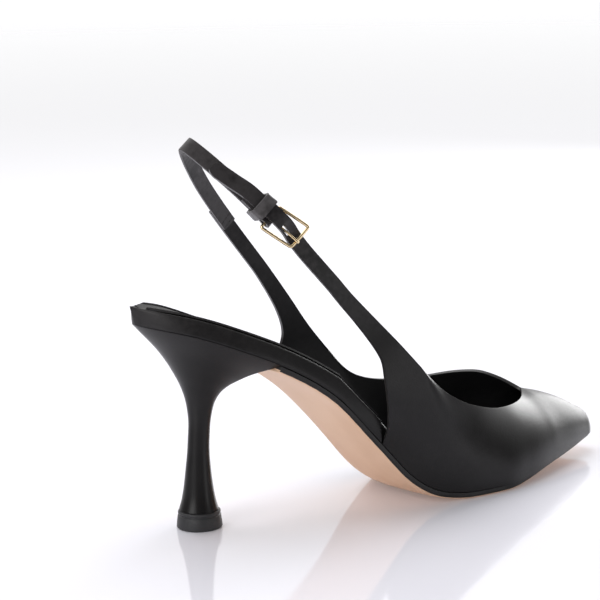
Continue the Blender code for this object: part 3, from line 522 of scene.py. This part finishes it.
class Bench:
    """Workbench: the modelling operators that the pieces share."""

    @staticmethod
    def pick(piece: bpy.types.Object) -> None:
        """Make one object the only one selected, and active.

        Args:
            piece: The object.
        """
        for other in bpy.context.view_layer.objects:
            other.select_set(False)
        piece.select_set(True)
        bpy.context.view_layer.objects.active = piece

    @staticmethod
    def copy(part: Part, name: str) -> bpy.types.Object:
        """Copy a solid and turn its loose triangles into joined four-sided faces.

        Args:
            part: Solid to copy.
            name: Name of the new piece.

        Returns:
            The new piece.
        """
        source = bpy.data.objects[part.value]
        piece = bpy.data.objects.new(name, source.data.copy())
        piece.data.name = name
        piece.data.materials.clear()
        bpy.context.scene.collection.objects.link(piece)
        Bench.pick(piece)
        bpy.ops.object.mode_set(mode="EDIT")
        bpy.ops.mesh.select_all(action="SELECT")
        bpy.ops.mesh.remove_doubles(threshold=WELD)
        bpy.ops.mesh.tris_convert_to_quads(
            face_threshold=QUAD_FOLD, shape_threshold=QUAD_SHAPE)
        bpy.ops.object.mode_set(mode="OBJECT")
        if piece.data.has_custom_normals:
            bpy.ops.mesh.customdata_custom_splitnormals_clear()
        return piece

    @staticmethod
    def apply(piece: bpy.types.Object) -> None:
        """Apply all modifiers of a piece.

        Args:
            piece: The piece.
        """
        Bench.pick(piece)
        for modifier in list(piece.modifiers):
            bpy.ops.object.modifier_apply(modifier=modifier.name)

    @staticmethod
    def soften(piece: bpy.types.Object, width: float, angle: float, segments: int = 2) -> None:
        """Round a piece's sharp edges.

        Args:
            piece: The piece.
            width: Width of the round edge.
            angle: Degrees from which an edge is sharp.
            segments: Steps round the edge.
        """
        bevel = piece.modifiers.new("round edge", "BEVEL")
        bevel.width = width
        bevel.segments = segments
        bevel.limit_method = "ANGLE"
        bevel.angle_limit = math.radians(angle)
        Bench.apply(piece)

    @staticmethod
    def subdivide(piece: bpy.types.Object, levels: int = SMOOTHING) -> None:
        """Smooth a piece by subdivision.

        Args:
            piece: The piece.
            levels: Number of steps.
        """
        surface = piece.modifiers.new("smooth form", "SUBSURF")
        surface.levels = levels
        surface.render_levels = levels
        Bench.apply(piece)

    @staticmethod
    def shade(piece: bpy.types.Object, angle: float = SHARP) -> None:
        """Shade smooth but for the sharp edges."""
        Bench.pick(piece)
        bpy.ops.object.shade_smooth_by_angle(angle=math.radians(angle))

    @staticmethod
    def smooth(piece: bpy.types.Object, width: float, angle: float = SHARP) -> None:
        """Round a piece's sharp edges, subdivide it and shade it.

        Args:
            piece: The piece.
            width: Width of the round edge.
            angle: Degrees from which an edge is sharp.
        """
        Bench.soften(piece, width, angle)
        Bench.subdivide(piece)
        Bench.shade(piece)

    @staticmethod
    def dress(piece: bpy.types.Object, finishes: Iterable[bpy.types.Material], part: Part,
              slot: str, replaces: bool = True) -> bpy.types.Object:
        """Give a piece its finishes and set it on the part.

        Args:
            piece: The piece.
            finishes: Materials, slot by slot.
            part: Solid that the piece stands for.
            slot: Material slot of the record; not used.
            replaces: Whether the solid is hidden.

        Returns:
            The piece.
        """
        for material in finishes:
            piece.data.materials.append(material)
        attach(piece, "root")
        if replaces:
            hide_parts(part.value)
        triangles = sum(len(face.vertices) - 2 for face in piece.data.polygons)
        log.info("%s: %d triangles", piece.name, triangles)
        return piece

    @staticmethod
    def press(piece: bpy.types.Object, creases: Iterable[Crease],
              outward: Callable[[Vector], Vector]) -> None:
        """Press troughs and ridges into a wall, both of its faces together.

        Args:
            piece: The piece.
            creases: Creases to press.
            outward: Direction that the wall faces at a point.
        """
        count = len(piece.data.vertices)
        points = np.empty(count * 3)
        piece.data.vertices.foreach_get("co", points)
        points = points.reshape(-1, 3)
        moves = np.zeros(count)
        for crease in creases:
            start, run = np.array(crease.start), np.array(crease.end) - np.array(crease.start)
            share = np.clip((points - start) @ run / (run @ run), 0.0, 1.0)
            away = np.linalg.norm(points - start - share[:, None] * run, axis=1)
            moves += crease.rise * np.exp(-(away / crease.width) ** 2)
        for i in np.flatnonzero(np.abs(moves) > STILL):
            vertex = piece.data.vertices[int(i)]
            vertex.co += outward(vertex.co) * float(moves[i])
        piece.data.update()

    @staticmethod
    def patches(mesh: bmesh.types.BMesh, angle: float) -> list[set[bmesh.types.BMFace]]:
        """Split faces into the patches that sharp edges part.

        Args:
            mesh: The faces.
            angle: Angle from which an edge is sharp.

        Returns:
            Sets of faces.
        """
        left = set(mesh.faces)
        patches = []
        while left:
            front = [left.pop()]
            patch = set(front)
            while front:
                for edge in front.pop().edges:
                    if not edge.is_manifold or edge.calc_face_angle() > angle:
                        continue
                    fresh = left.intersection(edge.link_faces)
                    left -= fresh
                    patch |= fresh
                    front.extend(fresh)
            patches.append(patch)
        return patches

    @staticmethod
    def close_end(piece: bpy.types.Object, level: float) -> None:
        """Close the open ring at a level and face all faces outwards.

        Args:
            piece: The piece.
            level: Height of the ring.
        """
        mesh = bmesh.new()
        mesh.from_mesh(piece.data)
        ring = [edge for edge in mesh.edges
                if edge.is_boundary and all(abs(v.co.z - level) < ON_LEVEL for v in edge.verts)]
        if ring:
            bmesh.ops.contextual_create(mesh, geom=ring)
        bmesh.ops.recalc_face_normals(mesh, faces=mesh.faces)
        mesh.to_mesh(piece.data)
        mesh.free()


@dataclass
class Upper:
    """Upper of nappa: one wall, folded at its top line, lined, with both straps."""

    edge_round: float = 0.45 * MM
    fold_angle: float = math.radians(40.0)
    outside: Leather = Leather("black nappa")
    lining: Leather = Leather(
        "black lining", colour=(0.0110, 0.0105, 0.0110), rub_and_sheen=(0.0160, 0.0152, 0.0160),
        roughness=0.55, specular=0.25, coat=0.0, pores=1100.0, pore_depth=0.015 * MM)
    # painted highlight: the rim's colours are lighter than the outer face's, standing in for the
    # light line along the folded top line
    edge: Leather = Leather(
        "folded edge painted highlight", colour=(0.020, 0.018, 0.018), rub_and_sheen=(0.034, 0.031, 0.031), wander=0.06,
        specular=0.50, coat=0.15)

    def build(self) -> bpy.types.Object:
        """Model and dress the upper.

        Returns:
            The piece.
        """
        piece = Bench.copy(Part.UPPER, "upper_leather")
        self._sort_faces(piece)
        Bench.smooth(piece, self.edge_round)
        finishes = [self.outside.material(), self.lining.material(), self.edge.material()]
        return Bench.dress(piece, finishes, Part.UPPER, "upper_leather")

    def _sort_faces(self, piece: bpy.types.Object) -> None:
        """Give the outer face, the lining and the rim between them their own slots.

        Args:
            piece: The upper.
        """
        mesh = bmesh.new()
        mesh.from_mesh(piece.data)
        patches = Bench.patches(mesh, self.fold_angle)
        toe = max(mesh.faces, key=lambda face: face.calc_center_median().x)
        outer = next(patch for patch in patches if toe in patch)
        inner = max((patch for patch in patches if patch is not outer), key=len)
        for patch in patches:
            wall = Wall.EDGE
            if patch is outer:
                wall = Wall.OUTSIDE
            elif patch is inner:
                wall = Wall.LINING
            for face in patch:
                face.material_index = wall.value
        mesh.to_mesh(piece.data)
        mesh.free()


@dataclass
class Footbed:
    """Leather-wrapped footbed and the sock lining that lies on it."""

    edge_round: float = 0.35 * MM
    edge_angle: float = 55.0
    corner: float = math.radians(25.0)
    sock_inset: float = 0.9 * MM
    sock_start: float = 3.0 * MM
    sock_rise: float = 0.35 * MM
    sock_round: float = 0.12 * MM
    sock_facing: float = 0.5
    wrap: Leather = Leather("footbed wrap", roughness=0.42, coat=0.08)
    sock: Leather = Leather(
        "sock lining", colour=(0.0120, 0.0112, 0.0116), rub_and_sheen=(0.0200, 0.0185, 0.0190),
        top_sheen=(0.0220, 0.0205, 0.0210), roughness=0.60, specular=0.20, coat=0.0)

    def build(self) -> bpy.types.Object:
        """Model and dress the footbed.

        Returns:
            The piece.
        """
        piece = Bench.copy(Part.FOOTBED, "footbed_wrap")
        Bench.smooth(piece, self.edge_round, self.edge_angle)
        return Bench.dress(piece, [self.wrap.material()], Part.FOOTBED, "footbed_leather")

    def build_sock(self) -> bpy.types.Object:
        """Model the sock lining: a thin sheet glued on the footbed, short of its rim.

        Returns:
            The piece.
        """
        piece = Bench.copy(Part.FOOTBED, "sock_lining")
        mesh = bmesh.new()
        mesh.from_mesh(piece.data)
        patches = Bench.patches(mesh, self.corner)
        top = max(patches, key=lambda patch: sum(f.normal.z * f.calc_area() for f in patch))
        start = min(vertex.co.x for vertex in mesh.verts) + self.sock_start
        kept = {f for f in top
                if f.normal.z > self.sock_facing and f.calc_center_median().x > start}
        bmesh.ops.delete(mesh, geom=[f for f in mesh.faces if f not in kept], context="FACES")
        rim = bmesh.ops.inset_region(
            mesh, faces=mesh.faces, thickness=self.sock_inset, use_boundary=True)["faces"]
        bmesh.ops.delete(mesh, geom=rim, context="FACES")
        for vertex in mesh.verts:
            vertex.co.z += self.sock_rise
        mesh.to_mesh(piece.data)
        mesh.free()
        sheet = piece.modifiers.new("sheet", "SOLIDIFY")
        sheet.thickness = 2 * self.sock_rise
        sheet.offset = -1.0
        Bench.apply(piece)
        Bench.soften(piece, self.sock_round, self.edge_angle, 1)
        Bench.subdivide(piece, 1)
        Bench.shade(piece)
        return Bench.dress(piece, [self.sock.material()], Part.FOOTBED, "footbed_leather", False)


@dataclass
class Outsole:
    """Tan leather outsole, the top half of its edge darker and waxed."""

    edge_round: float = 0.35 * MM
    edge_angle: float = 55.0
    flat_share: float = 0.5
    side_share: float = 0.6
    tan: SoleLeather = SoleLeather("tan sole leather")
    # darker top half of the sole's edge
    dark_edge_top: Leather = Leather("dark sole edge top", roughness=0.40, specular=0.35)

    def build(self) -> bpy.types.Object:
        """Model and dress the outsole.

        Returns:
            The piece.
        """
        piece = Bench.copy(Part.OUTSOLE, "sole_leather")
        self._darken_edge_top(piece)
        Bench.smooth(piece, self.edge_round, self.edge_angle)
        finishes = [self.tan.material(), self.dark_edge_top.material()]
        return Bench.dress(piece, finishes, Part.OUTSOLE, "outsole_leather")

    def _darken_edge_top(self, piece: bpy.types.Object) -> None:
        """Give the top half of the edge the second slot.

        Args:
            piece: The outsole.
        """
        mesh = bmesh.new()
        mesh.from_mesh(piece.data)
        uprights = [edge for edge in mesh.edges
                    if all(abs(self._facing(face)) < self.flat_share for face in edge.link_faces)]
        bmesh.ops.subdivide_edges(mesh, edges=uprights, cuts=1, use_grid_fill=True)
        walking = [face for face in mesh.faces if self._facing(face) < -self.flat_share]
        bare = {face for lower in walking for edge in lower.edges for face in edge.link_faces}
        for face in mesh.faces:
            face.material_index = 0 if face in bare else 1
        mesh.to_mesh(piece.data)
        mesh.free()

    def _facing(self, face: bmesh.types.BMFace) -> float:
        """Tell a face of the sole's flat sides from one of its edge.

        Args:
            face: Face of the outsole.

        Returns:
            Near 1 for the glued side, near -1 for the walking side, near 0 for the edge.
        """
        return 0.0 if abs(face.normal.y) > self.side_share else face.normal.z


@dataclass
class Heel:
    """Covered heel and its rubber tip."""

    edge_round: float = 0.20 * MM
    seat_from: float = 55.0 * MM
    seat_facing: float = 0.7
    seat_lift: float = 0.30 * MM
    tip_sides: int = 96
    tip_foot: float = 0.50 * MM
    tip_round: float = 0.45 * MM
    tip_rings: tuple[tuple[float, float], ...] = (
        (0.34, 0.15 * MM), (0.72, 0.50 * MM), (0.76, 0.95 * MM), (0.82, 0.95 * MM),
        (0.86, 0.58 * MM), (0.95, 0.65 * MM), (1.00, 0.95 * MM),
    )
    ring_round: float = 0.12 * MM
    ring_angle: float = 35.0
    cover: HeelCover = HeelCover("heel cover")
    rubber: Rubber = Rubber("heel tip rubber")

    def build(self) -> bpy.types.Object:
        """Model and dress the heel.

        Returns:
            The piece.
        """
        piece = Bench.copy(Part.HEEL, "heel_cover")
        seat = {i for face in piece.data.polygons for i in face.vertices
                if face.normal.z > self.seat_facing and face.center.z > self.seat_from}
        for i in seat:
            piece.data.vertices[i].co.z += self.seat_lift
        Bench.smooth(piece, self.edge_round)
        return Bench.dress(piece, [self.cover.material()], Part.HEEL, "heel_leather")

    def build_tip(self) -> bpy.types.Object:
        """Model the rubber tip: a turned disc with a groove round its side.

        Returns:
            The piece.
        """
        low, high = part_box(Part.TOP_PIECE.value)
        radius, height = (high.x - low.x) / 2, high.z - low.z
        level, reach = 0.0, radius - self.tip_foot
        bpy.ops.object.select_all(action="DESELECT")
        bpy.ops.mesh.primitive_circle_add(
            vertices=self.tip_sides, radius=reach, fill_type="NGON")
        piece = bpy.context.active_object
        piece.name = piece.data.name = "heel_tip"
        bpy.ops.object.mode_set(mode="EDIT")
        bpy.ops.mesh.select_all(action="SELECT")
        rings = [(self.tip_round, radius)]
        rings += [(share * height, radius - inset) for share, inset in self.tip_rings]
        for up, out in rings:
            bpy.ops.mesh.extrude_region_move(
                TRANSFORM_OT_translate={"value": (0.0, 0.0, up - level)})
            bpy.ops.transform.resize(value=(out / reach, out / reach, 1.0))
            level, reach = up, out
        bpy.ops.object.mode_set(mode="OBJECT")
        Bench.close_end(piece, 0.0)
        Bench.soften(piece, self.ring_round, self.ring_angle)
        Bench.shade(piece, self.ring_angle)
        return Bench.dress(piece, [self.rubber.material()], Part.TOP_PIECE, "tip_rubber")


@dataclass
class Fastening:
    """Sling strap, buckle and keeper."""

    # painted sheen: colours lighter than the upper's nappa, though the strap is the same black
    # leather
    strap: Leather = Leather(
        "strap nappa painted sheen", colour=(0.0150, 0.0132, 0.0136), rub_and_sheen=(0.034, 0.030, 0.031),
        top_sheen=(0.052, 0.047, 0.048), roughness=0.40, wander=0.14, specular=0.42, coat=0.10,
        pores=1400.0, ripples=260.0, ripple_depth=0.30 * MM)
    # painted highlight: colours lighter still, standing in for the light on the keeper's gathers
    gathered: Leather = Leather(
        "keeper nappa painted highlight", colour=(0.0240, 0.0210, 0.0220), rub_and_sheen=(0.060, 0.054, 0.055),
        top_sheen=(0.095, 0.088, 0.089), roughness=0.38, wander=0.12, specular=0.45, coat=0.12,
        pores=1400.0, ripples=420.0, ripple_depth=0.25 * MM)
    thread: Thread = Thread("waxed thread")
    stitch: Point = (0.85 * MM, 0.22 * MM, 0.22 * MM)
    stitch_facets: tuple[int, int] = (12, 8)
    stitch_hover: float = 2.0 * MM
    sewn_reach: float = 12.0 * MM
    stitch_rows: tuple[float, ...] = (1.8 * MM, 4.2 * MM)
    stitch_places: tuple[float, ...] = (-1.9 * MM, 0.0, 1.9 * MM)
    gold: PolishedBrass = PolishedBrass("pale gold")
    edge_angle: float = 60.0
    strap_round: float = 0.30 * MM
    keeper_round: float = 0.25 * MM
    strap_span: float = 1.6
    gather_width: float = 0.45 * MM
    gathers: tuple[tuple[float, float, float], ...] = (
        (-1.8 * MM, 0.05, 0.22 * MM), (-0.9 * MM, -0.06, -0.28 * MM), (0.0, 0.04, 0.25 * MM),
        (0.9 * MM, -0.03, -0.28 * MM), (1.8 * MM, 0.06, 0.22 * MM),
    )

    def build_sling(self) -> bpy.types.Object:
        """Model and dress the sling strap.

        Returns:
            The piece.
        """
        piece = Bench.copy(Part.SLING, "sling_leather")
        Bench.smooth(piece, self.strap_round, self.edge_angle)
        return Bench.dress(piece, [self.strap.material()], Part.SLING, "strap_leather")

    def build_keeper(self) -> bpy.types.Object:
        """Model and dress the keeper.

        Returns:
            The piece.
        """
        piece = Bench.copy(Part.KEEPER, "keeper_leather")
        Bench.soften(piece, self.keeper_round, self.edge_angle)
        Bench.subdivide(piece, SMOOTHING + 1)
        self._gather(piece)
        Bench.shade(piece)
        return Bench.dress(piece, [self.gathered.material()], Part.KEEPER, "keeper_leather")

    def build_stitches(self) -> bpy.types.Object:
        """Sew the sling strap's end to the inner strap, in two rows across it.

        Returns:
            The piece.
        """
        sling = bpy.data.objects["sling_leather"]
        points = [vertex.co.copy() for vertex in sling.data.vertices]
        end = min((p for p in points if p.y > 0.0), key=lambda p: p.z)
        near = np.array([list(p) for p in points if (p - end).length < self.sewn_reach])
        middle = Vector(near.mean(axis=0))
        ways = np.linalg.svd(near - near.mean(axis=0), full_matrices=False)[2]
        along, across, out = (Vector(way).normalized() for way in ways)
        along *= math.copysign(1.0, along.dot(end - middle))
        out *= math.copysign(1.0, -out.y)
        last = max((Vector(p) - middle).dot(along) for p in near)
        stitches = []
        for row in self.stitch_rows:
            for place in self.stitch_places:
                above = (middle + along * (last - row) + across * place
                         + out * self.stitch_hover)
                spot = sling.closest_point_on_mesh(above)[1]
                bpy.ops.object.select_all(action="DESELECT")
                bpy.ops.mesh.primitive_uv_sphere_add(
                    segments=self.stitch_facets[0], ring_count=self.stitch_facets[1], radius=1.0)
                stitch = bpy.context.active_object
                turn = Matrix((across, out.cross(across), out)).transposed().to_4x4()
                stitch.data.transform(Matrix.Translation(spot) @ turn @ Matrix.Diagonal(
                    (*self.stitch, 1.0)))
                stitches.append(stitch)
        Bench.pick(stitches[0])
        for stitch in stitches:
            stitch.select_set(True)
        bpy.ops.object.join()
        piece = stitches[0]
        piece.name = piece.data.name = "strap_stitches"
        Bench.shade(piece)
        return Bench.dress(piece, [self.thread.material()], Part.SLING, "strap_leather", False)

    def _gather(self, piece: bpy.types.Object) -> None:
        """Draw soft gathers round the keeper's outer face.

        Args:
            piece: The keeper.
        """
        low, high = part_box(Part.KEEPER.value)
        middle, reach = (low + high) / 2, (high - low).length
        along = self._strap_way(middle, self.strap_span * reach)
        across = Vector((-along.y, along.x, 0.0)).normalized()
        rise = along.cross(across).normalized() * 0.5
        creases = []
        for place, slant, height in self.gathers:
            centre = middle + along * place
            span = (rise + along * slant) * reach
            creases.append(Crease(tuple(centre - span), tuple(centre + span), self.gather_width,
                                  height))
        Bench.press(piece, creases, lambda point: self._off_line(point, middle, along))

    @staticmethod
    def _strap_way(middle: Vector, reach: float) -> Vector:
        """Direction of the sling strap near a point.

        Args:
            middle: The point.
            reach: Distance within which the strap counts.

        Returns:
            Unit direction.
        """
        points = [v.co for v in bpy.data.objects[Part.SLING.value].data.vertices]
        spread = np.array([list(p - middle) for p in points if (p - middle).length < reach])
        spread -= spread.mean(axis=0)
        return Vector(np.linalg.svd(spread, full_matrices=False)[2][0]).normalized()

    @staticmethod
    def _off_line(point: Vector, middle: Vector, along: Vector) -> Vector:
        """Direction from the strap's line to a point.

        Args:
            point: The point.
            middle: Point of the line.
            along: Direction of the line.

        Returns:
            Unit direction.
        """
        away = point - middle
        away -= along * away.dot(along)
        return away.normalized()

    def build_metal(self) -> list[bpy.types.Object]:
        """Model and dress the frame and the prong.

        Returns:
            Both pieces.
        """
        gold = self.gold.material()
        pieces = []
        for part, name, slot in ((Part.FRAME, "buckle_wire", "frame_brass"),
                                 (Part.PRONG, "prong_wire", "prong_brass")):
            piece = Bench.copy(part, name)
            Bench.subdivide(piece)
            Bench.shade(piece, self.edge_angle)
            pieces.append(Bench.dress(piece, [gold], part, slot))
        return pieces


@dataclass
class Studio:
    """Pale glossy floor, soft lights and the camera at the photograph's angle."""

    target: Point = (0.0905, 0.0, 0.0550)
    azimuth: float = -35.234
    elevation: float = 12.371
    distance: float = 0.8487
    yaw: float = -2.371
    pitch: float = 1.697
    roll: float = 0.510
    lens: float = 123.04
    room: float = 0.22
    backdrop: float = 1.10
    fall_from: float = 0.10
    fall_lift: float = 0.25
    floor_side: float = 14.0
    floor_colour: Colour = (0.82, 0.81, 0.88)
    floor_roughness: float = 0.07
    floor_glow: float = 0.08
    lights: tuple[tuple[str, Point, float, float], ...] = (
        ("overhead softbox", (0.05, 0.40, 1.10), 1.20, 9.5),
        ("left softbox", (-1.00, -0.35, 0.50), 0.70, 5.5),
        ("toe softbox", (1.12, 0.46, 0.36), 0.60, 5.5),
        ("side fill", (0.70, -1.10, 0.06), 0.40, 1.0),
    )

    def build(self) -> None:
        """Set the floor, the surround, the lights and the camera."""
        self._floor()
        self._surround()
        for name, place, side, power in self.lights:
            self._softbox(name, place, side, power)
        self._camera()

    def _floor(self) -> None:
        """Glossy floor."""
        bpy.ops.object.select_all(action="DESELECT")
        bpy.ops.mesh.primitive_plane_add(size=self.floor_side)
        floor = bpy.context.active_object
        floor.name = "floor"
        graph = Graph(bpy.data.materials.new("pale glossy floor"))
        graph.set(Base_Color=self.floor_colour, Roughness=self.floor_roughness,
                  Emission_Color=(1.0, 0.99, 1.0), Emission_Strength=self.floor_glow)
        floor.data.materials.append(graph.holder)

    def _surround(self) -> None:
        """White backdrop that falls off to a dim room behind the camera."""
        graph = Graph(bpy.data.worlds.new("white surround"), "Background")
        turn = math.radians(self.azimuth)
        ahead = (-math.sin(turn), math.cos(turn), self.fall_lift)
        direction = graph.node("ShaderNodeTexCoord", output="Generated")
        away = graph.node(
            "ShaderNodeVectorMath", {"operation": "DOT_PRODUCT"}, {0: direction, 1: ahead}, "Value")
        fall = graph.node("ShaderNodeMapRange", {"interpolation_type": "SMOOTHSTEP"}, {
            "Value": away, "From Min": self.fall_from,
            "To Min": self.room, "To Max": self.backdrop})
        seen = graph.node("ShaderNodeLightPath", output="Is Camera Ray")
        glow = graph.node("ShaderNodeMix", None, {"Factor": seen, "A": fall, "B": 1.0})
        graph.set(Color=(1.0, 1.0, 1.0), Strength=glow)
        bpy.context.scene.world = graph.holder
        bpy.context.scene.view_settings.view_transform = "Standard"

    def _softbox(self, name: str, place: Point, side: float, power: float) -> None:
        """Area light that faces the shoe.

        Args:
            name: Name of the light.
            place: Its place.
            side: Length of its side.
            power: Watts.
        """
        data = bpy.data.lights.new(name, "AREA")
        data.shape = "SQUARE"
        data.size = side
        data.energy = power
        lamp = bpy.data.objects.new(name, data)
        bpy.context.scene.collection.objects.link(lamp)
        towards = Vector(self.target) - Vector(place)
        lamp.location = place
        lamp.rotation_euler = towards.to_track_quat("-Z", "Y").to_euler()
        lamp.visible_camera = False

    def _camera(self) -> None:
        """Camera on the photograph's line of sight, turned off the target as it was."""
        turn, tilt = math.radians(self.azimuth), math.radians(self.elevation)
        back = Vector((math.sin(turn) * math.cos(tilt), -math.cos(turn) * math.cos(tilt),
                       math.sin(tilt)))
        right = (-back).cross(Vector((0.0, 0.0, 1.0))).normalized()
        up = right.cross(-back)
        ahead = -back
        yaw, pitch, roll = (math.radians(v) for v in (self.yaw, self.pitch, self.roll))
        right, ahead = (right * math.cos(yaw) - ahead * math.sin(yaw),
                        right * math.sin(yaw) + ahead * math.cos(yaw))
        up, ahead = (up * math.cos(pitch) - ahead * math.sin(pitch),
                     up * math.sin(pitch) + ahead * math.cos(pitch))
        right, up = (right * math.cos(roll) - up * math.sin(roll),
                     right * math.sin(roll) + up * math.cos(roll))
        data = bpy.data.cameras.new("camera")
        data.lens = self.lens
        data.sensor_width = 36.0
        data.clip_start = 0.01
        camera = bpy.data.objects.new("camera", data)
        bpy.context.scene.collection.objects.link(camera)
        place = Matrix((right, up, -ahead)).transposed().to_4x4()
        place.translation = Vector(self.target) + back * self.distance
        camera.matrix_world = place
        bpy.context.scene.camera = camera


def main() -> None:
    """Dress the shoe and set the studio round it."""
    logging.basicConfig(level=logging.INFO, format="%(name)s %(message)s")
    for old in list(bpy.data.objects):
        bpy.data.objects.remove(old)
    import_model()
    Upper().build()
    footbed = Footbed()
    footbed.build()
    footbed.build_sock()
    Outsole().build()
    heel = Heel()
    heel.build()
    heel.build_tip()
    fastening = Fastening()
    fastening.build_sling()
    fastening.build_metal()
    fastening.build_keeper()
    fastening.build_stitches()
    Studio().build()


if __name__ == "__main__":
    main()
